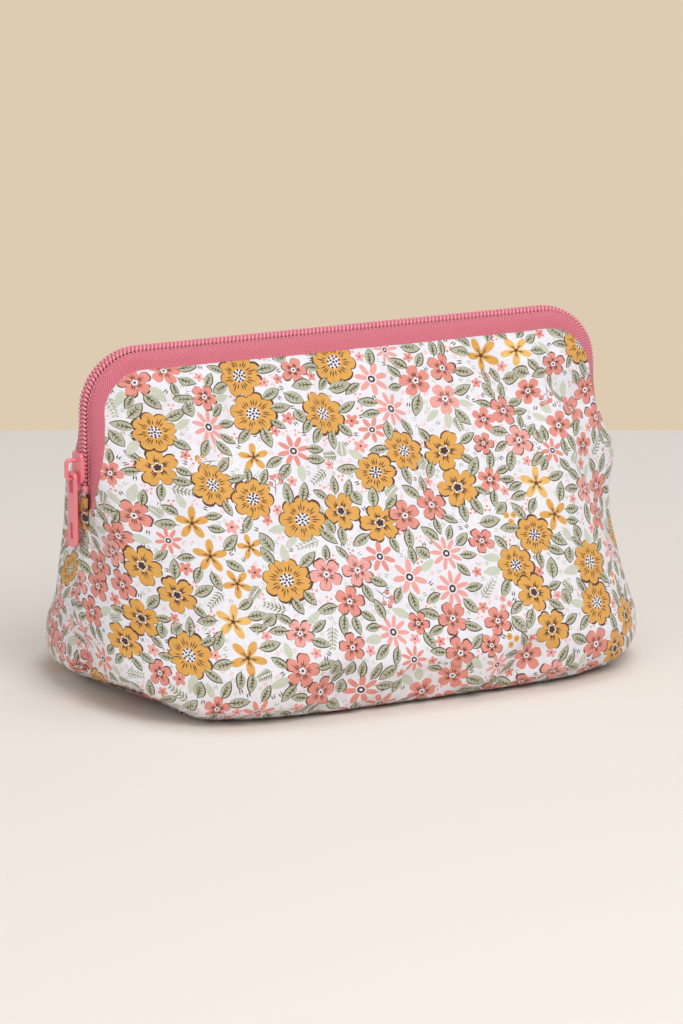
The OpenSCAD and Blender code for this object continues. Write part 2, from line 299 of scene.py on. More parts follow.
def button_flower(rng, r=7.6):
    shape = blossom(8, r, 0.8, 0.6, 7)
    art = [drawn(shape), (MUSTARD, shape)]
    art += [(BROWN, s) for s in streaks(8, r * 0.38, r * 0.84, 0.52, rng, 3, 0.2)]
    art += [(WHITE, disc(r * 0.31, 11)), (INK, disc(0.5, 6))]
    for ring, count in ((0.145, 5), (0.26, 9)):
        for k in range(count):
            art += [(INK, disc(0.46, 6, *polar(r * ring, 2 * math.pi * (k + ring) / count)))]
    return art


def coral_flower(rng, r=5.6):
    shape = blossom(5, r, 0.48, 0.6, 9, 0.14)
    art = [drawn(shape, 0.16, -0.18)] if rng.random() < 0.65 else []
    art += [(CORAL if rng.random() < 0.75 else PINK, shape)]
    art += [(BROWN, s) for s in streaks(5, r * 0.18, r * 0.66, 0.46, rng, 3, 0.26)]
    art += [(WHITE, disc(r * 0.2, 7)), (INK, disc(r * 0.09, 5))]
    for k in range(5):
        art += [(INK, disc(0.26, 4, *polar(r * 0.2, 2 * math.pi * k / 5)))]
    return art


def star_flower(rng, r=6.0):
    art = [(MUSTARD if rng.random() < 0.8 else HONEY, blossom(5, r, 0.2, 1.3, 9))]
    art += [(BROWN, s) for s in streaks(5, r * 0.12, r * 0.58, 0.34, rng, 2, 0.2)]
    return art + [(BROWN, blossom(5, r * 0.17, 0.5, 1, 3))]


def daisy(rng, r=5.6):
    art = [(CORAL if rng.random() < 0.6 else PINK, blossom(rng.choice((7, 8, 9)), r, 0.26, 1.2, 8))]
    return art + [(WHITE, disc(r * 0.3, 9)), (INK, disc(r * 0.22, 8)), (WHITE, disc(r * 0.1, 6))]


def floret(rng, r=2.6):
    return [(PINK if rng.random() < 0.6 else CORAL, blossom(5, r, 0.5, 0.9, 5)), (BROWN, disc(r * 0.2, 4))]


def leaf(rng, length=9.0, width=4.2):
    def whole(grow):
        """The outline, made wider all round by grow."""
        upper = []
        for x in [k / 8 for k in range(1, 8)]:
            bulge = math.sin(math.pi * x ** 0.8) ** 0.75
            upper.append((x * length, bulge * width / 2 + grow))
        return [(-grow, 0)] + [(x, -y) for x, y in upper] + [(length + grow, 0)] + upper[::-1]

    if rng.random() < 0.12:
        return [(SAGE_PALE, whole(0))]
    art = [(OLIVE, turned(whole(0.28), 0.03, 0.14, -0.28)), (SAGE, whole(0))]
    art += [(OLIVE, kite(-length * 0.2, 0, length * 0.92, 0, 0.52))]
    for x in (0.22, 0.4, 0.58):
        for s in (-1, 1):
            art += [(OLIVE, kite(x * length, 0, (x + 0.17) * length, s * width * 0.29, 0.42))]
    return art


def fern(rng, length=11.0):
    tone = OLIVE if rng.random() < 0.5 else SAGE
    art = [(OLIVE, kite(-length / 2, 0, length / 2, rng.uniform(-1, 1), 0.36))]
    for k in range(6):
        x = -length / 2 + length * (k + 1) / 7
        for s in (-1, 1):
            reach = 2.4 * (1 - 0.09 * k)
            art += [(SAGE, kite(x, 0, x + reach * 0.75, s * reach, 0.95))]
            art += [(tone, kite(x, 0, x + reach * 0.5, s * reach * 0.7, 0.3))]
    return art


def berries(rng, length=8.0):
    art = [(BROWN, kite(-length / 2, 0, length / 2, 0.3, 0.34))]
    tone = MUSTARD if rng.random() < 0.7 else CORAL
    for k, (x, s) in enumerate(((-0.1, 1), (0.05, -1), (0.2, 1), (0.32, -1))):
        ex, ey = x * length + 1.6, s * (2.1 - 0.25 * k)
        art += [(BROWN, kite(x * length, 0, ex, ey, 0.3)), (BROWN, disc(0.95, 7, ex + 0.08, ey - 0.1))]
        art += [(tone, disc(0.8, 7, ex, ey))]
    return art + [(tone, disc(0.85, 7, length / 2, 0.3))]


def dots(rng):
    tone = rng.choice((PINK, BLUSH, CORAL))
    return [(tone, disc(0.55, 5, *polar(0.95, a))) for a in (0.5, 2.6, 4.7)]


def sprig(rng):
    """A few short strokes that fill small gaps."""
    tone = rng.choice((SAGE, SAGE_PALE, OLIVE, BLUSH))
    return [(tone, kite(-1.2, 0.45 * k, 1.0, 0.8 * k, 0.55)) for k in (-1, 0.4)]


def seeds(rng):
    tone = rng.choice((PINK, MUSTARD))
    art = []
    for k in range(3):
        x, y = polar(1.7, 2.1 * k)
        art += [(tone, disc(1.25, 8, x, y)), (BROWN, disc(0.28, 4, x, y))]
    return art


class Print:
    """Scatters motifs over a rectangle, large ones first, and keeps them apart."""

    def __init__(self, x0, y0, x1, y1, seed):
        self.box = (x0, y0, x1, y1)
        self.rng = random.Random(seed)
        self.cell = 0.5
        self.nx, self.ny = int((x1 - x0) / self.cell) + 1, int((y1 - y0) / self.cell) + 1
        self.taken = np.zeros((self.ny, self.nx), bool)
        self.art = []
        self.fill()

    def _disc(self, x, y, r):
        i, j = (x - self.box[0]) / self.cell, (y - self.box[1]) / self.cell
        k = r / self.cell
        i0, i1 = max(0, int(i - k)), min(self.nx, int(i + k) + 2)
        j0, j1 = max(0, int(j - k)), min(self.ny, int(j + k) + 2)
        i1, j1 = max(i0, i1), max(j0, j1)
        yy, xx = np.mgrid[j0:j1, i0:i1]
        return (slice(j0, j1), slice(i0, i1)), (xx - i) ** 2 + (yy - j) ** 2 <= k * k

    def free(self, x, y, r, share=0.02):
        where, m = self._disc(x, y, r)
        return m.any() and (self.taken[where] & m).sum() <= share * m.sum()

    def take(self, x, y, r):
        where, m = self._disc(x, y, r)
        self.taken[where] |= m

    def add(self, art, x, y, angle, scale=1.0):
        self.art += [(c, turned(p, angle, x, y, scale)) for c, p in art]

    def bloom(self, kind, x, y, r):
        self.add(kind(self.rng, r), x, y, self.rng.uniform(0, 6.28))
        self.take(x, y, r * 0.92)

    def leaves_round(self, x, y, r):
        """Up to five leaves that start under the flower's edge."""
        rng = self.rng
        start = rng.uniform(0, 6.28)
        made = 0
        for k in range(9):
            if made >= 5:
                break
            a = start + k * 0.7
            length = rng.uniform(5.6, 7.8)
            mx, my = polar(r + length * 0.52, a)
            if self.free(x + mx, y + my, length * 0.33, 0.04):
                made += 1
                tilt = rng.uniform(-0.5, 0.5)
                ex, ey = x + r * 0.86 * math.cos(a), y + r * 0.86 * math.sin(a)
                self.add(leaf(rng, length, length * 0.46), ex, ey, a + tilt)
                for f in (0.25, 0.5, 0.75):
                    dx, dy = polar(f * length, a + tilt)
                    self.take(ex + dx, ey + dy, length * 0.19)

    def anywhere(self):
        x0, y0, x1, y1 = self.box
        return self.rng.uniform(x0, x1), self.rng.uniform(y0, y1)

    def fill(self):
        x0, y0, x1, y1 = self.box
        area = (x1 - x0) * (y1 - y0)
        self.clusters(int(area / 25))
        tries = int(area / 9)
        self.single_flowers(tries)
        self.long_motifs(tries // 3)
        self.small_motifs(tries)

    def clusters(self, tries):
        """Groups of one to three large flowers, then the leaves round them."""
        rng = self.rng
        kinds = ((mustard_flower, 7.4, 2), (coral_flower, 6.1, 3), (button_flower, 8.0, 1),
                 (daisy, 6.4, 2), (coral_flower, 6.2, 2), (star_flower, 6.6, 2),
                 (coral_flower, 6.1, 3), (button_flower, 7.6, 2), (daisy, 6.2, 1))
        spots, blooms = [], []
        for _ in range(tries):
            x, y = self.anywhere()
            if any((x - a) ** 2 + (y - b) ** 2 < 19.5 ** 2 for a, b in spots):
                continue
            kind, r, count = kinds[len(spots) % len(kinds)]
            spots.append((x, y))
            turn = rng.uniform(0, 6.28)
            for c in range(count):
                a = turn + c * (math.pi if count == 2 else 2.1)
                d = 0 if count == 1 else r * (0.98 if count == 2 else 1.16)
                fx, fy = x + d * math.cos(a), y + d * math.sin(a)
                if self.free(fx, fy, r * 0.85, 0.1):
                    self.bloom(kind, fx, fy, r * rng.uniform(0.93, 1.05))
                    blooms.append((fx, fy, r))
        for bloom in blooms:
            self.leaves_round(*bloom)

    def single_flowers(self, tries):
        kinds = ((coral_flower, 5.0, 6), (star_flower, 5.6, 9), (daisy, 5.0, 7), (star_flower, 4.8, 12),
                 (coral_flower, 4.2, 8))
        for kind, r, few in kinds:
            for _ in range(tries // few):
                x, y = self.anywhere()
                if self.free(x, y, r * 0.9):
                    self.bloom(kind, x, y, r)
                    if self.rng.random() < 0.4:
                        self.leaves_round(x, y, r)

    def long_motifs(self, tries):
        kinds = ((fern, 9.5, 1.7), (leaf, 7.5, 1.7), (berries, 8.0, 1.9), (leaf, 5.6, 1.25), (fern, 6.5, 1.3))
        for kind, length, reach in kinds:
            for _ in range(tries):
                x, y = self.anywhere()
                a = self.rng.uniform(0, 6.28)
                spine = [(x + dx, y + dy) for dx, dy in (polar(f * length, a) for f in (-0.33, 0, 0.33))]
                if all(self.free(px, py, reach, 0.03) for px, py in spine):
                    dx, dy = polar((0.5 if kind is leaf else 0.0) * length, a)
                    self.add(kind(self.rng, length), x - dx, y - dy, a)
                    for px, py in spine:
                        self.take(px, py, reach)

    def small_motifs(self, tries):
        kinds = ((floret, 2.7, 1), (seeds, 2.6, 3), (floret, 2.0, 1), (sprig, 1.25, 1), (dots, 1.3, 1),
                 (sprig, 0.9, 0.7))
        for kind, r, few in kinds:
            for _ in range(int(tries / few)):
                x, y = self.anywhere()
                if self.free(x, y, r * 1.08):
                    art = kind(self.rng, r) if kind is floret else kind(self.rng)
                    self.add(art, x, y, self.rng.uniform(0, 6.28))
                    self.take(x, y, r)


def printed_mesh(name, outline, art, place, material, step=2.4):
    """Cuts the flat outline along every motif's edge and puts it in place, with a colour on each piece."""
    ox, oy = np.array(outline).T
    box = (ox.min() - 1, oy.min() - 1, ox.max() + 1, oy.max() + 1)
    verts, faces, colours = [tuple(p) for p in outline], [list(range(len(outline)))], [WHITE]
    for colour, poly in art:
        px, py = [p[0] for p in poly], [p[1] for p in poly]
        if max(px) < box[0] or min(px) > box[2] or max(py) < box[1] or min(py) > box[3]:
            continue
        faces.append(list(range(len(verts), len(verts) + len(poly))))
        verts += poly
        colours.append(colour)
    for r, y in enumerate(np.arange(box[1] + 1.5, box[3] - 1, step * 0.87)):
        for x in np.arange(box[0] + 1.5 + (r % 2) * step / 2, box[2] - 1, step):
            verts.append((float(x), float(y)))
    out = delaunay_2d_cdt([Vector(v) for v in verts], [], faces, 1, 1e-4)
    flat, tris, origin = out[0], out[2], out[5]
    keep = [(t, max(o)) for t, o in zip(tris, origin) if o and 0 in o]
    used = sorted({i for t, _ in keep for i in t})
    index = {i: k for k, i in enumerate(used)}
    uv = np.array([flat[i][:2] for i in used])
    xyz, normals = place(uv)
    mesh = bpy.data.meshes.new(name)
    mesh.from_pydata([tuple(p * MM) for p in xyz], [], [[index[i] for i in t] for t, _ in keep])
    layer = mesh.color_attributes.new("print", "FLOAT_COLOR", "CORNER")
    flat_colours = np.repeat(np.array([colours[c] for _, c in keep], np.float32), 3, axis=0)
    layer.data.foreach_set("color", flat_colours.ravel())
    coords = mesh.uv_layers.new(name="cloth")
    loops = np.zeros(len(mesh.loops), np.int32)
    mesh.loops.foreach_get("vertex_index", loops)
    coords.data.foreach_set("uv", (uv[loops] * 0.01).astype(np.float32).ravel())
    mesh.polygons.foreach_set("use_smooth", np.ones(len(mesh.polygons), bool))
    face_out(mesh, xyz, normals)
    mesh.normals_split_custom_set_from_vertices([tuple(n) for n in normals])
    return piece(name, mesh, material)


def face_out(mesh, xyz, normals):
    """Turns the faces over if they look away from the wanted normals."""
    mesh.update()
    p = mesh.polygons[len(mesh.polygons) // 2]
    if Vector(normals[p.vertices[0]]).dot(p.normal) < 0:
        mesh.flip_normals()


# ---- materials

def new_material(name):
    """A material with its node tree and its shader."""
    m = bpy.data.materials.new(name)
    m.use_nodes = True
    nt = m.node_tree
    return m, nt, nt.nodes["Principled BSDF"]


def add(nt, kind, **values):
    n = nt.nodes.new(kind)
    for k, v in values.items():
        if hasattr(n, k):
            setattr(n, k, v)
        else:
            n.inputs[k].default_value = v
    return n


def grain_of(nt, scale, detail, where=None):
    """Noise over the surface, in the object's own coordinates where a texture coordinate is given."""
    n = add(nt, "ShaderNodeTexNoise", Scale=scale, Detail=detail)
    if where:
        nt.links.new(where.outputs["Object"], n.inputs["Vector"])
    return n.outputs["Fac"]


def worked_out(nt, operation, *values):
    """The result of a Math node; numbers are set on it and outputs are linked to it."""
    n = add(nt, "ShaderNodeMath", operation=operation)
    for socket, value in zip(n.inputs, values):
        if isinstance(value, float):
            socket.default_value = value
        else:
            nt.links.new(value, socket)
    return n.outputs[0]


def tinted(nt, bsdf, amount, dark, light, start=0.0, end=1.0):
    """Colours the surface from dark to light as amount goes from start to end."""
    ramp = add(nt, "ShaderNodeValToRGB")
    for e, place, colour in zip(ramp.color_ramp.elements, (start, end), (dark, light)):
        e.position, e.color = place, colour
    nt.links.new(amount, ramp.inputs["Fac"])
    nt.links.new(ramp.outputs["Color"], bsdf.inputs["Base Color"])


def raised(nt, height, strength, distance, under=None):
    """A bump's normal, over the normal of the bump under it."""
    n = add(nt, "ShaderNodeBump", Strength=strength, Distance=distance)
    nt.links.new(height, n.inputs["Height"])
    if under:
        nt.links.new(under, n.inputs["Normal"])
    return n.outputs["Normal"]


def finish(nt, bsdf, normal, roughness, **more):
    """Links the normal and sets the shader's own sockets, as in Sheen_Weight=0.2."""
    nt.links.new(normal, bsdf.inputs["Normal"])
    bsdf.inputs["Roughness"].default_value = roughness
    for name, value in more.items():
        bsdf.inputs[name.replace("_", " ")].default_value = value


def cloth_material():
    """Printed cotton: the print's colours, a fine uneven weave and soft sheen."""
    thread_pitch = 0.0045
    m, nt, bsdf = new_material("printed_cotton")
    link = nt.links.new
    colour = add(nt, "ShaderNodeVertexColor", layer_name="print")
    where = add(nt, "ShaderNodeTexCoord")
    grain, soft = grain_of(nt, 900.0, 3.0, where), grain_of(nt, 45.0, 2.0, where)
    limits = {"From Min": 0.3, "From Max": 0.7, "To Min": 0.93, "To Max": 1.03}
    tone = add(nt, "ShaderNodeMapRange", **limits)
    link(grain, tone.inputs["Value"])
    mix = add(nt, "ShaderNodeMix", data_type="RGBA", blend_type="MULTIPLY", Factor=1.0)
    link(colour.outputs["Color"], mix.inputs["A"])
    link(tone.outputs["Result"], mix.inputs["B"])
    link(mix.outputs["Result"], bsdf.inputs["Base Color"])
    flat = add(nt, "ShaderNodeUVMap", uv_map="cloth")
    sep = add(nt, "ShaderNodeSeparateXYZ")
    link(flat.outputs["UV"], sep.inputs["Vector"])
    turns = [worked_out(nt, "MULTIPLY", sep.outputs[axis], 2 * math.pi / thread_pitch) for axis in ("X", "Y")]
    woven = worked_out(nt, "MULTIPLY", *[worked_out(nt, "SINE", t) for t in turns])
    threads = raised(nt, woven, 0.35, 0.00012)
    dents = raised(nt, soft, 0.5, 0.0012, threads)
    fuzz = raised(nt, grain, 0.25, 0.0003, dents)
    finish(nt, bsdf, fuzz, 0.78, Sheen_Weight=0.15, Sheen_Roughness=0.5)
    return m


def plain_cloth_material(name, colour, dark, scale, roughness, sheen, bump):
    """A plain fabric with a fine grain and slightly uneven colour."""
    m, nt, bsdf = new_material(name)
    where = add(nt, "ShaderNodeTexCoord")
    grain, patch = grain_of(nt, scale, 4.0, where), grain_of(nt, 30.0, 2.0, where)
    tinted(nt, bsdf, worked_out(nt, "MULTIPLY", grain, patch), dark, colour, 0.12, 0.4)
    finish(nt, bsdf, raised(nt, grain, bump, 0.0004), roughness, Sheen_Weight=sheen)
    return m


def tape_material():
    """Woven zip tape: herringbone, slanting one way near the coil and the other way near the panel."""
    turn_at, pitch = 0.44, 0.125
    m, nt, bsdf = new_material("zip_tape")
    where = add(nt, "ShaderNodeUVMap", uv_map="strip")
    sep = add(nt, "ShaderNodeSeparateXYZ")
    nt.links.new(where.outputs["UV"], sep.inputs["Vector"])
    bent = worked_out(nt, "ABSOLUTE", worked_out(nt, "SUBTRACT", sep.outputs["Y"], turn_at))
    slant = worked_out(nt, "ADD", sep.outputs["X"], bent)
    wave = worked_out(nt, "SINE", worked_out(nt, "MULTIPLY", slant, 2 * math.pi / pitch))
    yarn = worked_out(nt, "MULTIPLY_ADD", wave, 0.35, grain_of(nt, 1500.0, 2.0))
    tinted(nt, bsdf, yarn, srgb(208, 98, 118), srgb(236, 132, 148), 0.15, 0.85)
    finish(nt, bsdf, raised(nt, yarn, 0.6, 0.0003), 0.7, Sheen_Weight=0.2)
    return m


def nylon_material(name, colour, roughness):
    m, nt, bsdf = new_material(name)
    grain = grain_of(nt, 300.0, 2.0)
    tinted(nt, bsdf, grain, (*[c * 0.9 for c in colour[:3]], 1.0), colour)
    finish(nt, bsdf, raised(nt, grain, 0.15, 0.0002), roughness)
    return m


def enamel_material():
    """Glossy enamel over cast metal, with a trace of uneven paint."""
    m, nt, bsdf = new_material("enamelled_metal")
    grain = grain_of(nt, 220.0, 3.0)
    tinted(nt, bsdf, grain, srgb(236, 118, 134), srgb(248, 140, 152))
    finish(nt, bsdf, raised(nt, grain, 0.08, 0.0002), 0.3, Coat_Weight=0.4, Coat_Roughness=0.15)
    return m


# ---- soft pieces

def lift(x, y):
    """How far the foot of each end stands off the ground between its two corners."""
    d = (y + 30) / (22.0 if y < -30 else 40.0)
    side = share(abs(x), 78, 92)
    return (6.6 if x < 0 else 4.0) * side * side * (3 - 2 * side) * math.exp(-d * d)


def settle(wall):
    """Unevenness of the padded wall: hollows, lifted ends, a pinch by each zip end, puckers along the zip."""
    flat, side = wall.flat, wall.side
    out = np.zeros_like(flat)
    for j, z in enumerate(wall.zs):
        fade = min(1.0, z / 6.0) * share(z, EDGE_TOP - 3, EDGE_TOP - 25)
        foot = max(0.0, 1 - z / 34.0) ** 2
        edge = wall.edge_w(min(z, EDGE_TOP))
        for i, w in enumerate(wall.ws):
            x, y, _ = flat[j, i]
            out[j, i, 2] += lift(x, y) * foot
            n = 2.0 * noise.noise(Vector((x * 0.018 + 5 * side, y * 0.018, z * 0.022)))
            n += 0.9 * noise.noise(Vector((x * 0.045, y * 0.045 + 9 * side, z * 0.04)))
            by = abs(y) * 1.1 + 1e-6
            pinch = math.exp(-((z - (42 if x > 0 else 56)) / 15.0) ** 2 - (by / 22.0) ** 2)
            pinch *= 1 - math.exp(-(by / 7.0) ** 2)
            r = max(math.hypot(x, y), 1)
            ear = math.exp(-((z - 71) / 13.0) ** 2 - ((abs(w) - 0.9) / 0.13) ** 2)
            push = (n - 3.0 * pinch + (4.6 if x > 0 else 1.5) * ear) * fade * min(1, by / 4.0)
            if z > FOLD - 4:
                beside, below = (edge - abs(w)) * wall.half[j], EDGE_TOP - z
                near = max(0.0, min(beside, below))
                across_x, across_z = (0.17, 0.05) if below < beside else (0.05, 0.17)
                along = Vector((x * across_x, side * 3.0, z * across_z))
                push += 1.0 * noise.noise(along) * math.exp(-near / 7.0) * min(1.0, near / 1.5)
            out[j, i, :2] += flat[j, i, :2] / r * push
    return out


def refined(wall, rows, cols, coarse):
    """Spreads values known at some rows and columns over the wall's whole grid, and smooths them."""
    full = np.zeros_like(wall.points)
    for k in range(3):
        wide = np.array([np.interp(wall.ws, wall.ws[cols], row) for row in coarse[:, :, k]])
        full[:, :, k] = np.array([np.interp(wall.zs, wall.zs[rows], col) for col in wide.T]).T
    for _ in range(3):
        soft = full.copy()
        beside = full[:-2, 1:-1] + full[2:, 1:-1] + full[1:-1, :-2] + full[1:-1, 2:]
        soft[1:-1, 1:-1] = (full[1:-1, 1:-1] * 4 + beside) / 8
        full = soft
    return full


def creases(moved):
    """What is left of the movement when most of its broad swelling is taken away, up to 3.5 mm."""
    swell = moved.copy()
    for _ in range(60):
        beside = np.roll(swell, 1, 1)[1:-1] + np.roll(swell, -1, 1)[1:-1]
        swell[1:-1] = (swell[:-2] + swell[2:] + beside) / 4
    fine = (moved - 0.9 * swell) * 1.5
    size = np.linalg.norm(fine, axis=2, keepdims=True)
    return fine * np.minimum(1.0, 3.5 / np.maximum(size, 1e-6))


def simulate(front, back):
    """Lets the padded wall swell and crease as cloth, and gives how far each point of both grids moved."""
    frames = 22
    rows, cols = np.arange(0, len(front.zs), 2), np.arange(0, len(front.ws), 4)
    ends = cols[::-1][1:-1]
    ring = np.concatenate([front.points[np.ix_(rows, cols)], back.points[np.ix_(rows, ends)]], axis=1)
    ob = grid_piece("cloth_sim", ring, None, closed=True)
    held = ob.vertex_groups.new(name="held")
    r, c = ring.shape[:2]
    ws = np.concatenate([front.ws[cols], front.ws[ends]])
    for j in range(r):
        z = front.zs[rows[j]]
        limit = front.edge_w(min(z, EDGE_TOP))
        for i in range(c):
            near_zip = z > FOLD - 8 and abs(ws[i]) > limit - 0.035
            sewn = z < 2.0 or z > EDGE_TOP - 2.5 or near_zip
            held.add([j * c + i], 1.0 if sewn else (0.05 if z > 5 else 0.5), "REPLACE")
    m = ob.modifiers.new("cloth", "CLOTH")
    st = m.settings
    st.quality, st.mass = 7, 0.25
    st.tension_stiffness, st.compression_stiffness, st.shear_stiffness, st.bending_stiffness = 18, 18, 6, 4.0
    st.tension_damping = st.compression_damping = st.shear_damping = 8
    st.vertex_group_mass = "held"
    st.pin_stiffness = 1.0
    st.use_pressure, st.uniform_pressure_force = True, 1.6
    st.shrink_min = -0.022
    st.effector_weights.gravity = 0.0
    m.collision_settings.use_collision = False
    m.point_cache.frame_start, m.point_cache.frame_end = 1, frames
    scene = bpy.context.scene
    for f in range(1, frames + 1):
        scene.frame_set(f)
    settled = ob.evaluated_get(bpy.context.evaluated_depsgraph_get()).data
    co = np.zeros(len(settled.vertices) * 3)
    settled.vertices.foreach_get("co", co)
    d = creases(co.reshape(r, c, 3) / MM - ring)
    scene.frame_set(1)
    bpy.data.objects.remove(ob)
    half = len(cols)
    back_part = np.concatenate([d[:, :1], d[:, half:][:, ::-1], d[:, half - 1:half]], axis=1)
    return refined(front, rows, cols, d[:, :half]), refined(front, rows, cols, back_part)


def piece(name, mesh, material):
    ob = bpy.data.objects.new(name, mesh)
    bpy.context.scene.collection.objects.link(ob)
    if material:
        mesh.materials.append(material)
    return ob


def face_piece(name, points, faces, material):
    """A mesh from points in millimetres and faces."""
    mesh = bpy.data.meshes.new(name)
    mesh.from_pydata([tuple(c * MM for c in p) for p in points], [], faces)
    return piece(name, mesh, material)


def bmesh_piece(name, bm, material):
    mesh = bpy.data.meshes.new(name)
    bm.to_mesh(mesh)
    bm.free()
    return piece(name, mesh, material)


def grid_piece(name, points, material, closed=False):
    """A mesh over a grid of points [row, column, xyz]."""
    r, c = points.shape[:2]
    faces = []
    for j in range(r - 1):
        for i in range(c if closed else c - 1):
            k = (i + 1) % c
            faces.append((j * c + i, j * c + k, (j + 1) * c + k, (j + 1) * c + i))
    ob = face_piece(name, points.reshape(-1, 3), faces, material)
    ob.data.polygons.foreach_set("use_smooth", np.full(len(faces), True))
    ob.data.update()
    return ob


def capped(ob, caps=()):
    """Adds faces, each a row of vertex numbers, and turns every face outward."""
    bm = bmesh.new()
    bm.from_mesh(ob.data)
    bm.verts.ensure_lookup_table()
    for cap in caps:
        bm.faces.new([bm.verts[i] for i in cap])
    bmesh.ops.recalc_face_normals(bm, faces=bm.faces)
    bm.to_mesh(ob.data)
    bm.free()
    return ob


def nearest(points, uv):
    """Distance from each flat point to the nearest of points, and that one's number."""
    tree = kdtree.KDTree(len(points))
    for i, (x, y) in enumerate(points):
        tree.insert((x, y, 0), i)
    tree.balance()
    found = [tree.find((u, v, 0)) for u, v in uv]
    return np.array([f[2] for f in found]), np.array([f[1] for f in found])


def roll_at_edge(wall, uv, z):
    """How far a point of the panel sinks as it nears the zip's strip or the side seam."""
    heights = [*np.linspace(FOLD - 4, EDGE_TOP - EDGE_R, 140), *corner_heights(np.arange(1, 90.5, 1))]
    edge = []
    for ez in heights:
        u = wall.edge_w(ez) * float(np.interp(ez, wall.zs, wall.half))
        v = float(np.interp(ez, wall.zs, wall.v))
        edge += [(u, v), (-u, v)]
    top_u, top_v = abs(edge[-1][0]), edge[-1][1]
    edge += [(u, top_v) for u in np.linspace(-top_u, top_u, 600)]
    f = np.clip(1 - nearest(edge, uv)[0] / 2.6, 0, 1)
    seam = np.interp(uv[:, 1], wall.v, wall.half) - np.abs(uv[:, 0])
    g = np.clip(1 - seam / 2.2, 0, 1) * np.clip((FOLD - 8 - z) / 8, 0, 1)
    return 1.1 * f ** 2.4 + 0.7 * g ** 2


def print_panel(wall, name, seed, material):
    outline = wall.outline(FOOT)
    span = max(abs(u) for u, _ in outline)
    art = Print(-span, 0, span, max(v for _, v in outline), seed).art

    def place(uv):
        w, z = wall.uv_to_wz(uv[:, 0], uv[:, 1])
        return wall.at(w, z, roll_at_edge(wall, uv, z))

    return printed_mesh(name, outline, art, place, material)


def foot_ring(wall_f, wall_b):
    """The line round the bag where the walls meet the base."""
    front = wall_f.at(np.linspace(-1, 1, 160), np.full(160, FOOT))[0]
    back = wall_b.at(np.linspace(1, -1, 160), np.full(160, FOOT))[0]
    return np.vstack([front, back[1:-1]])


def print_base(wall_f, wall_b, material):
    ring = foot_ring(wall_f, wall_b)
    art = Print(-WIDTH / 2, -DEPTH / 2, WIDTH / 2, DEPTH / 2, 77).art

    def place(uv):
        near, which = nearest(ring[:, :2], uv)
        rise = ring[which, 2]
        low = 0.9 * np.clip(1 - near / 3.0, 0, 1) ** 2
        p = np.stack([uv[:, 0], uv[:, 1], low + (rise - FOOT) * np.clip(1 - near / 18.0, 0, 1) ** 2], 1)
        return p, np.tile((0.0, 0.0, -1.0), (len(p), 1))

    return printed_mesh("base_cloth", [tuple(p[:2]) for p in ring], art, place, material, 4.0)


def base_layer(wall_f, wall_b, name, z0, z1, inset, material):
    """A flat padded layer over the base that rises with the lifted ends."""
    ring = foot_ring(wall_f, wall_b)
    parts = np.concatenate([[0.02], np.linspace(0.3, 0.8, 4), np.linspace(0.83, 1.0, 10)])
    half = np.hypot(ring[:, 0], ring[:, 1])[:, None]
    rows = []
    for z, order in ((z0, parts), (z1, parts[::-1])):
        for part in order:
            q = ring.copy()
            q[:, :2] *= part * (1 - inset / half)
            near = half[:, 0] * (1 - part) + inset
            q[:, 2] = z + (ring[:, 2] - FOOT) * np.clip(1 - near / 18.0, 0, 1) ** 2
            rows.append(q)
    n, last = len(ring), (len(rows) - 1) * len(ring)
    ob = grid_piece(name, np.array(rows), material, closed=True)
    return capped(ob, (range(n), range(last + n - 1, last - 1, -1)))


def layer_piece(wall, name, off_out, off_in, z0, material):
    """A closed padded layer behind the printed cloth."""
    n = 81
    zs = np.concatenate([np.linspace(z0, BASE_R, 8)[:-1], np.linspace(BASE_R, EDGE_TOP - 0.4, 44)])
    rings = []
    for z in zs:
        line = np.linspace(-1, 1, n) * wall.edge_w(z) * (0.9995 if z < FOLD - 6 else 1.0)
        out = wall.at(line, np.full(n, z), off_out)[0]
        inn = wall.at(line[::-1], np.full(n, z), off_in)[0]
        ring = np.vstack([out, inn])
        ring[:, 1] = wall.side * np.maximum(wall.side * ring[:, 1], 0.05)
        rings.append(ring)
    ob = grid_piece(name, np.array(rings), material, closed=True)
    caps = [[start + k for k in (i, i + 1, 2 * n - 2 - i, 2 * n - 1 - i)]
            for start in (0, (len(zs) - 1) * 2 * n) for i in range(n - 1)]
    return capped(ob, caps)


# ---- zip

def arch(d, z0, step=1.0):
    """Stations round the zip's arch, inset by d: x, z, outward direction and length so far."""
    half, top, r = ZIP_HALF - d, HEIGHT - d, ZIP_R - d
    leg, flat = top - r - z0, 2 * (half - r)
    n, m = max(2, int(leg / step)), int(flat / step)
    left = [(-half, z0 + leg * k / n, -1.0, 0.0) for k in range(n)]
    for degrees in range(0, 91, 3):
        a = math.radians(degrees)
        left.append((-half + r - r * math.cos(a), top - r + r * math.sin(a), -math.cos(a), math.sin(a)))
    lid = [(-half + r + flat * k / m, top, 0.0, 1.0) for k in range(1, m)]
    right = [(-x, z, -nx, nz) for x, z, nx, nz in left[::-1]]
    p = np.array(left + lid + right)
    return np.column_stack([p, lengths(p[:, :2])])


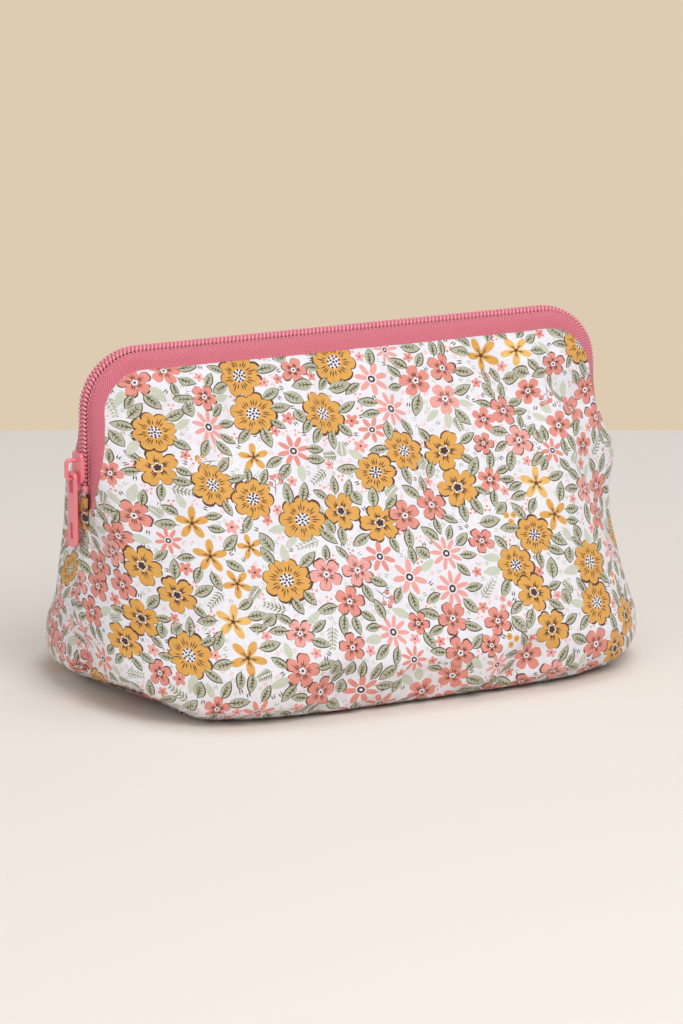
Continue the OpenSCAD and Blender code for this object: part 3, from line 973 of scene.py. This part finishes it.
def panel_edge(wall, x, z, nx, nz):
    """The panel's edge at a station of the zip: its w, its height and a w a little inside."""
    if nz >= 1.0:
        ex = x * (EDGE_HALF - EDGE_R) / (ZIP_HALF - ZIP_R)
        w = float(np.interp(ex, wall.row(EDGE_TOP)[:, 0], wall.ws))
        return w, EDGE_TOP, w * 0.99
    if nz > 0.0:
        ez = EDGE_TOP - EDGE_R + nz * EDGE_R
    else:
        ez = TAPE_FOOT + (z - TAPE_FOOT) * (EDGE_TOP - EDGE_R - TAPE_FOOT) / (HEIGHT - ZIP_R - TAPE_FOOT)
    w = math.copysign(wall.edge_w(min(max(ez, FOLD), EDGE_TOP)), x)
    return w, ez, w * (0.975 if nz < 0.9 else 0.99)


def spread(path, count):
    """The same path with count evenly spaced points."""
    d = lengths(path)
    q = np.linspace(0, d[-1], count)
    return np.stack([np.interp(q, d, path[:, k]) for k in range(3)], 1)


def tape_piece(wall, side, material):
    """Half of the zip's tape: flat under the coil, then down and under the panel's edge."""
    st = arch(COIL_SEAT, TAPE_FOOT)
    rows = []
    for x, z, nx, nz, _ in st:
        w, ez, deep_w = panel_edge(wall, x, z, nx, nz)
        edge = wall.at([w], [ez], 1.15)[0][0]
        deep = wall.at([deep_w], [ez - 3.0 * nz], 1.75)[0][0]
        out = np.array([nx, 0, nz])
        flat = [np.array([x, side * y, z]) - out * sink for y, sink in ((0.45, 0), (2.6, 0), (4.1, 0.15))]
        mid = (flat[2] + edge) * 0.5 + out * 0.5 + np.array([0, side * 0.25, 0])
        rows.append(spread(np.array([*flat, flat[2] * 0.7 + mid * 0.3 + out * 0.2, mid, edge, deep]), 15))
    rows = np.array(rows)
    ob = grid_piece("tape_front" if side < 0 else "tape_back", rows, material)
    uv = ob.data.uv_layers.new(name="strip")
    loops = np.zeros(len(ob.data.loops), np.int32)
    ob.data.loops.foreach_get("vertex_index", loops)
    along = st[:, 4][loops // rows.shape[1]] / 10
    across = np.array([lengths(row) for row in rows]).reshape(-1)[loops] / 10
    uv.data.foreach_set("uv", np.stack([along, across], 1).astype(np.float32).ravel())
    solid = ob.modifiers.new("thick", "SOLIDIFY")
    solid.thickness, solid.offset = 0.5 * MM, 0
    return ob


def tube(name, path, radius, sides, material, squeeze=1.0):
    """A round wire along a path of points."""
    path = np.asarray(path, float)
    t = np.gradient(path, axis=0)
    t /= np.linalg.norm(t, axis=1, keepdims=True)
    ref = np.tile((0.0, 1.0, 0.0), (len(path), 1))
    b = np.cross(t, ref)
    weak = np.linalg.norm(b, axis=1) < 0.2
    b[weak] = np.cross(t[weak], (1.0, 0.0, 0.3))
    b /= np.linalg.norm(b, axis=1, keepdims=True)
    n = np.cross(b, t)
    ang = np.linspace(0, 2 * math.pi, sides, endpoint=False)
    round_n, round_b = np.cos(ang)[None, :, None] * n[:, None], np.sin(ang)[None, :, None] * b[:, None]
    return grid_piece(name, path[:, None] + radius * (round_n + squeeze * round_b), material, closed=True)


def coil_piece(side, z0, material, shaded_core_material, steps=9):
    """A wound nylon coil round the arch, its turns set between those of the other side. Its wire is painted a
    lighter pink as a painted highlight on the turns, and its core cord a darker pink as painted shade between
    them.
    """
    st = arch(COIL_H / 2 + 0.1, z0, 0.5)
    s = np.linspace(0, st[-1, 4], int(st[-1, 4] / COIL_PITCH) * steps)
    x, z, nx, nz = (np.interp(s, st[:, 4], st[:, k]) for k in range(4))
    turn = s / COIL_PITCH * 2 * math.pi + (math.pi if side > 0 else 0)
    up = 0.6 * np.sin(turn)
    path = np.stack([x + nx * up, side * (1.15 + 1.1 * np.cos(turn)), z + nz * up], 1)
    core = st[::2]
    cord = np.stack([core[:, 0], np.full(len(core), side * 1.3), core[:, 1]], 1)
    parts = [tube("wire", path, 0.46, 6, material), tube("cord", cord, 0.62, 8, shaded_core_material)]
    return joined("coil_front" if side < 0 else "coil_back", parts)


def seam_thread(side, z0, material):
    """A row of small stitches that holds the coil to its tape."""
    lateral, rise, long = 2.75, 0.5, 1.1
    st = arch(COIL_SEAT - rise, z0, 0.5)
    pts, faces = [], []
    for k in range(int(st[-1, 4] / COIL_PITCH)):
        a, b = k * COIL_PITCH, k * COIL_PITCH + long
        for q, h in ((a, -0.1), ((a + b) / 2, 0.22), (b, -0.1)):
            x, z, nx, nz = (float(np.interp(q, st[:, 4], st[:, j])) for j in range(4))
            for dl in (-0.16, 0.16):
                pts.append((x + nx * h, side * (lateral + dl), z + nz * h))
        i = len(pts) - 6
        faces += [(i, i + 1, i + 3, i + 2), (i + 2, i + 3, i + 5, i + 4)]
    ob = face_piece("thread_front" if side < 0 else "thread_back", pts, faces, material)
    ob.modifiers.new("thick", "SOLIDIFY").thickness = 0.25 * MM
    return ob


# ---- slider and small parts

def bare_prism(name, outline, axis_pos, thick, material):
    """A flat plate in the Y-Z plane from x = axis_pos; outline is a list of (y, z)."""
    bm = bmesh.new()
    vs = [bm.verts.new((axis_pos * MM, y * MM, z * MM)) for y, z in outline]
    face = bm.faces.new(vs)
    out = bmesh.ops.extrude_face_region(bm, geom=[face])
    for v in out["geom"]:
        if isinstance(v, bmesh.types.BMVert):
            v.co.x += thick * MM
    bmesh.ops.recalc_face_normals(bm, faces=bm.faces)
    ob = bmesh_piece(name, bm, material)
    ob.data.polygons.foreach_set("use_smooth", np.ones(len(ob.data.polygons), bool))
    return ob


def rounded(ob, bevel, segments):
    b = ob.modifiers.new("round", "BEVEL")
    b.width, b.segments, b.limit_method, b.angle_limit = bevel * MM, segments, "ANGLE", math.radians(50)
    w = ob.modifiers.new("flat", "WEIGHTED_NORMAL")
    w.keep_sharp = True
    return ob


def prism(name, outline, axis_pos, thick, material, bevel=0.25, segments=3):
    """The same plate with rounded edges."""
    return rounded(bare_prism(name, outline, axis_pos, thick, material), bevel, segments)


def arc(cx, cz, r, a0, a1, n):
    """Points on a circle from a0 to a1 degrees."""
    return turned([polar(r, math.radians(a0 + (a1 - a0) * k / n)) for k in range(n + 1)], 0, cx, cz)


def box_mm(node):
    """The CAD box of a node in millimetres."""
    lo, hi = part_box(node)
    return lo / MM, hi / MM


def slider_outline(w, l, z0):
    h = w / 2
    pts = arc(-h + 1.8, z0 + 1.8, 1.8, 180, 270, 6) + arc(h - 1.8, z0 + 1.8, 1.8, 270, 360, 6)
    pts += arc(h - 1.6, z0 + l - 1.6, 1.6, 0, 90, 6)
    pts += arc(0, z0 + l + h * 0.8, h * 0.95, 310, 230, 8)
    return pts + arc(-h + 1.6, z0 + l - 1.6, 1.6, 90, 180, 6)


def joined(name, obs):
    """Applies the pieces' modifiers and joins them into one."""
    dg = bpy.context.evaluated_depsgraph_get()
    bm = bmesh.new()
    mats = []
    for o in obs:
        me = bpy.data.meshes.new_from_object(o.evaluated_get(dg))
        for m in me.materials:
            if m not in mats:
                mats.append(m)
        for p in me.polygons:
            p.material_index = mats.index(me.materials[p.material_index])
        bm.from_mesh(me)
    for o in obs:
        bpy.data.objects.remove(o)
    whole = bmesh_piece(name, bm, None)
    for m in mats:
        whole.data.materials.append(m)
    return whole


def slider_body(enamel):
    lo, hi = box_mm("slider_body")
    z0, l, w = lo[2], hi[2] - lo[2], hi[1] - lo[1]
    plate = 1.1
    outline = slider_outline(w, l, z0)
    post = [(-0.5, z0 + 0.4), (0.5, z0 + 0.4), (0.5, z0 + 3.0), (-0.5, z0 + 3.0)]
    parts = [prism("plate", outline, lo[0], plate, enamel, 0.35, 4),
             prism("plate", outline, hi[0] - plate, plate, enamel, 0.3, 3),
             prism("post", post, lo[0] + plate - 0.1, hi[0] - lo[0] - 2 * plate + 0.2, enamel, 0.15, 2)]
    for s in (-1, 1):
        inner, outer, low, high = s * (w / 2 - 0.65), s * w / 2, z0 + 2.0, z0 + l - 2.2
        lip = [(inner, low), (outer, low), (outer, high), (inner, high)]
        parts.append(prism("lip", lip[::s], lo[0] + plate - 0.15, 0.6, enamel, 0.15, 2))
    return joined("slider", parts)


def slider_bail(enamel):
    """The raised loop that holds the puller."""
    bend = 1.3
    lo, hi = box_mm("slider_bail")
    x0, x1, z0, z1 = lo[0] + 0.7, hi[0] + 0.2, lo[2] + 0.7, hi[2] - 0.7
    loop = [(x1, z0), *arc(x0 + bend, z0 + bend, bend, 270, 180, 8)]
    loop += [*arc(x0 + bend, z1 - bend, bend, 180, 90, 8), (x1, z1)]
    fine = []
    for (ax, az), (bx, bz) in zip(loop[:-1], loop[1:]):
        for k in range(4):
            fine.append((ax + (bx - ax) * k / 4, 0.0, az + (bz - az) * k / 4))
    fine.append((x1, 0.0, z1))
    return capped(tube("bail", fine, 0.95, 16, enamel, 0.72))


def round_box(left, low, right, high, radii, n):
    """Outline of a box, counter-clockwise; radii are those of its lower and upper corners."""
    a, b = radii
    return (arc(left + a, low + a, a, 180, 270, n) + arc(right - a, low + a, a, 270, 360, n)
            + arc(right - b, high - b, b, 0, 90, n) + arc(left + b, high - b, b, 90, 180, n))


def puller_part(enamel):
    """The pull tab: a plate with an eye round the bail and a slot near its end."""
    lo, hi = box_mm("puller")
    half, thick, bottom, top = (hi[1] - lo[1]) / 2, hi[0] - lo[0], lo[2], hi[2]
    pin_z = top - thick / 2
    outline = round_box(-half, bottom, half, top, (2.6, 1.6), 12)
    plate = bare_prism("puller_visual", outline, lo[0], thick, enamel)
    eye = round_box(1.5 - half, pin_z - 6.6, half - 1.5, pin_z - 0.65, (0.9, 0.9), 12)
    slot = round_box(-1.1, bottom + 3.0, 1.1, bottom + 9.0, (1.09, 1.09), 12)
    holes = [bare_prism("hole", shape, lo[0] - 1, thick + 2, enamel) for shape in (eye, slot)]
    for hole in holes:
        cut = plate.modifiers.new("cut", "BOOLEAN")
        cut.operation, cut.solver, cut.object = "DIFFERENCE", "EXACT", hole
    whole = joined("puller_visual", [rounded(plate, 0.32, 3)])
    for hole in holes:
        bpy.data.objects.remove(hole)
    return whole


def end_stop(node, material):
    """A small pressed clip over the coils, with rounded edges."""
    lo, hi = box_mm(node)
    outline = [(lo[1], lo[2]), (hi[1], lo[2]), (hi[1], hi[2]), (lo[1], hi[2])]
    clip = bare_prism(node + "_visual", outline, lo[0], hi[0] - lo[0], material)
    rounded(clip, 0.42 * min(hi - lo), 4)
    return joined(node + "_visual", [clip])


def end_tab(side, cloth, seed):
    """The small fold of printed cloth over one end of the zip."""
    lo, hi = box_mm("zip_end_tab_right" if side > 0 else "zip_end_tab_left")
    w, l = hi[1] - lo[1], hi[2] - lo[2] + 4.2
    x = max(abs(lo[0]), abs(hi[0]))
    outline = round_box(-w / 2, 0, w / 2, l, (1.6, 1.6), 6)
    art = Print(-w / 2 - 4, -4, w / 2 + 4, l + 4, seed).art

    def place(uv):
        q = np.minimum(np.minimum(uv[:, 0] + w / 2, w / 2 - uv[:, 0]), np.minimum(uv[:, 1], l - uv[:, 1]))
        drop = 0.75 * np.clip(1 - q / 0.9, 0, 1) ** 2
        p = np.stack([side * (x - drop - 0.02 * uv[:, 0] ** 2), side * uv[:, 0], lo[2] + uv[:, 1]], 1)
        return p, np.tile((float(side), 0.0, 0.0), (len(p), 1))

    return printed_mesh("end_tab_" + ("right" if side > 0 else "left"), outline, art, place, cloth, 1.0)


# ---- building it

def soft_walls():
    front, back = Wall(-1, settle), Wall(1, settle)
    for wall, moved in zip((front, back), simulate(front, back)):
        wall.points = wall.points + moved
        wall.normals = wall.find_normals(wall.points)
    return front, back


def make_pieces():
    cloth = cloth_material()
    lining = plain_cloth_material("lining", srgb(246, 226, 228), srgb(226, 196, 200), 700.0, 0.6, 0.2, 0.3)
    felt = plain_cloth_material("wadding", srgb(248, 246, 240), srgb(222, 218, 208), 420.0, 0.95, 0.3, 0.8)
    tape = tape_material()
    # The coil's wire is painted a lighter pink as a painted highlight and its core cord a darker pink as
    # painted shade between the turns; both stand for the same pink nylon.
    nylon = nylon_material("zip_coil", srgb(246, 158, 172), 0.28)
    cord = nylon_material("zip_cord", srgb(214, 104, 126), 0.6)
    thread = nylon_material("stitching", srgb(250, 186, 194), 0.5)
    enamel = enamel_material()
    front, back = soft_walls()
    walls = {"front": front, "back": back}
    made = {name: print_panel(wall, name + "_cloth", seed, cloth)
            for (name, wall), seed in zip(walls.items(), (11, 23))}
    made["base"] = print_base(front, back, cloth)
    made["base_pad"] = base_layer(front, back, "base_padding", 0.9, 4.7, 1.6, felt)
    made["base_lining"] = base_layer(front, back, "base_lining_cloth", 4.8, 5.3, 1.3, lining)
    for name, wall in walls.items():
        made[name + "_pad"] = layer_piece(wall, name + "_padding", 1.25, 3.9, 1.0, felt)
    for name, wall in walls.items():
        made[name + "_lining"] = layer_piece(wall, name + "_lining_cloth", 4.0, 4.5, 1.0, lining)
    for name, wall in walls.items():
        made["tape_" + name] = tape_piece(wall, wall.side, tape)
    coil_foot = box_mm("zip_coil_front")[0][2]
    for name, wall in walls.items():
        made["coil_" + name] = coil_piece(wall.side, coil_foot, nylon, cord)
    for name, wall in walls.items():
        made["thread_" + name] = seam_thread(wall.side, coil_foot, thread)
    made["slider"] = slider_body(enamel)
    made["bail"] = slider_bail(enamel)
    made["puller"] = puller_part(enamel)
    # The end stops share the coil wire's lighter pink, the colour that carries its painted highlight.
    for node in ("zip_stop_front", "zip_stop_back", "zip_stop_end"):
        made[node] = end_stop(node, nylon)
    made["tab_left"] = end_tab(-1, cloth, 5)
    made["tab_right"] = end_tab(1, cloth, 6)
    return made


def build():
    made = make_pieces()
    for key in ("front", "front_pad", "front_lining", "tape_front", "coil_front", "thread_front"):
        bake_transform(made[key])
    for key in ("back", "base", "base_pad", "base_lining", "back_pad", "back_lining", "tape_back",
                "coil_back", "thread_back", "tab_left", "tab_right", "zip_stop_back", "zip_stop_end"):
        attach(made[key], "shell")
    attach(made["zip_stop_front"], "front_flap")
    for key in ("slider", "bail"):
        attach(made[key], "slider")
    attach(made["puller"], "puller")

    stands_for = {
        "front": ("printed_cotton", "front_panel_lower", "front_panel_upper"),
        "front_pad": ("wadding", "front_wadding_lower", "front_wadding_upper"),
        "front_lining": ("lining", "front_lining_lower", "front_lining_upper"),
        "back": ("printed_cotton", "back_panel"),
        "back_pad": ("wadding", "back_wadding"),
        "back_lining": ("lining", "back_lining"),
        "base": ("printed_cotton", "base_panel"),
        "base_pad": ("wadding", "base_wadding"),
        "base_lining": ("lining", "base_lining"),
        "tape_front": ("zip_tape", "zip_tape_front"),
        "tape_back": ("zip_tape", "zip_tape_back"),
        "coil_front": ("zip_coil", "zip_coil_front"),
        "coil_back": ("zip_coil", "zip_coil_back"),
        "slider": ("enamelled_metal", "slider_body"),
        "bail": ("enamelled_metal", "slider_bail"),
        "puller": ("enamelled_metal", "puller"),
        "tab_left": ("printed_cotton", "zip_end_tab_left"),
        "tab_right": ("printed_cotton", "zip_end_tab_right"),
        "zip_stop_front": ("enamelled_metal", "zip_stop_front"),
        "zip_stop_back": ("enamelled_metal", "zip_stop_back"),
        "zip_stop_end": ("enamelled_metal", "zip_stop_end"),
    }
    for key, (slot, *nodes) in stands_for.items():
        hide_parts(*nodes)


# ---- studio

def plain(name, colour, glow=False):
    """One plain colour: paint, or an even glow that no light changes."""
    m, nt, bsdf = new_material(name)
    bsdf.inputs["Base Color"].default_value = (0, 0, 0, 1) if glow else colour
    bsdf.inputs["Emission Color"].default_value = colour
    bsdf.inputs["Emission Strength"].default_value = 1.0 if glow else 0.0
    bsdf.inputs["Roughness"].default_value = 0.95
    bsdf.inputs["Specular IOR Level"].default_value = 0.0 if glow else 0.1
    return m


def dome():
    """A large shell in one plain colour behind everything; it neither lights nor shades anything."""
    radius = 5.0
    bm = bmesh.new()
    bmesh.ops.create_uvsphere(bm, u_segments=64, v_segments=32, radius=radius)
    ob = bmesh_piece("backdrop", bm, plain("backdrop", srgb(222, 204, 178), True))
    for ray in ("diffuse", "glossy", "transmission", "volume_scatter", "shadow"):
        setattr(ob, "visible_" + ray, False)
    return ob


def placed(name, data, where, aim):
    """A light or camera at a place, turned towards aim."""
    o = bpy.data.objects.new(name, data)
    bpy.context.scene.collection.objects.link(o)
    o.location = where
    o.rotation_mode = "QUATERNION"
    o.rotation_quaternion = (Vector(aim) - Vector(where)).to_track_quat("-Z", "Y")
    return o


def area(name, where, size, power):
    d = bpy.data.lights.new(name, "AREA")
    d.shape, d.size, d.energy = "DISK", size, power
    placed(name, d, TARGET + where, TARGET)


def looking(drop=0.0):
    """The photograph's viewing direction, tipped down by drop."""
    flat = math.cos(drop)
    return Vector((math.sin(VIEW_TURN) * flat, math.cos(VIEW_TURN) * flat, -math.sin(drop)))


def studio():
    ahead = looking()
    across = Vector((ahead.y, -ahead.x, 0))
    near, far, aside, under = -3000, 384, 4000, -0.2
    corners = [ahead * a + across * b for a, b in ((near, -aside), (near, aside), (far, aside), (far, -aside))]
    points = [(c.x, c.y, under) for c in corners]
    floor = face_piece("floor", points, [(0, 1, 2, 3)], plain("floor", srgb(236, 229, 221)))
    dome()
    up = Vector((0, 0, 1))
    area("key", across * 0.45 - ahead * 0.85 + up, 0.8, 9.3)
    area("fill", across * -0.8 - ahead * 0.9 + up * 0.4, 1.2, 2.7)
    area("top", across * 0.15 + ahead * 0.15 + up * 1.3, 0.9, 4.5)
    bpy.context.scene.view_settings.view_transform = "Standard"
    world = bpy.data.worlds.new("studio")
    bpy.context.scene.world = world
    world.use_nodes = True
    sky = world.node_tree.nodes["Background"].inputs
    sky["Color"].default_value = (1.0, 0.99, 0.985, 1)
    sky["Strength"].default_value = 0.41


def camera():
    d = bpy.data.cameras.new("camera")
    d.sensor_width, d.sensor_fit, d.lens = 36.0, "AUTO", LENS
    d.shift_x, d.shift_y = SHIFT
    d.dof.use_dof = False
    d.clip_start, d.clip_end = 0.05, 20
    bpy.context.scene.camera = placed("camera", d, TARGET - looking(VIEW_DROP) * VIEW_DISTANCE, TARGET)


build()
studio()
camera()
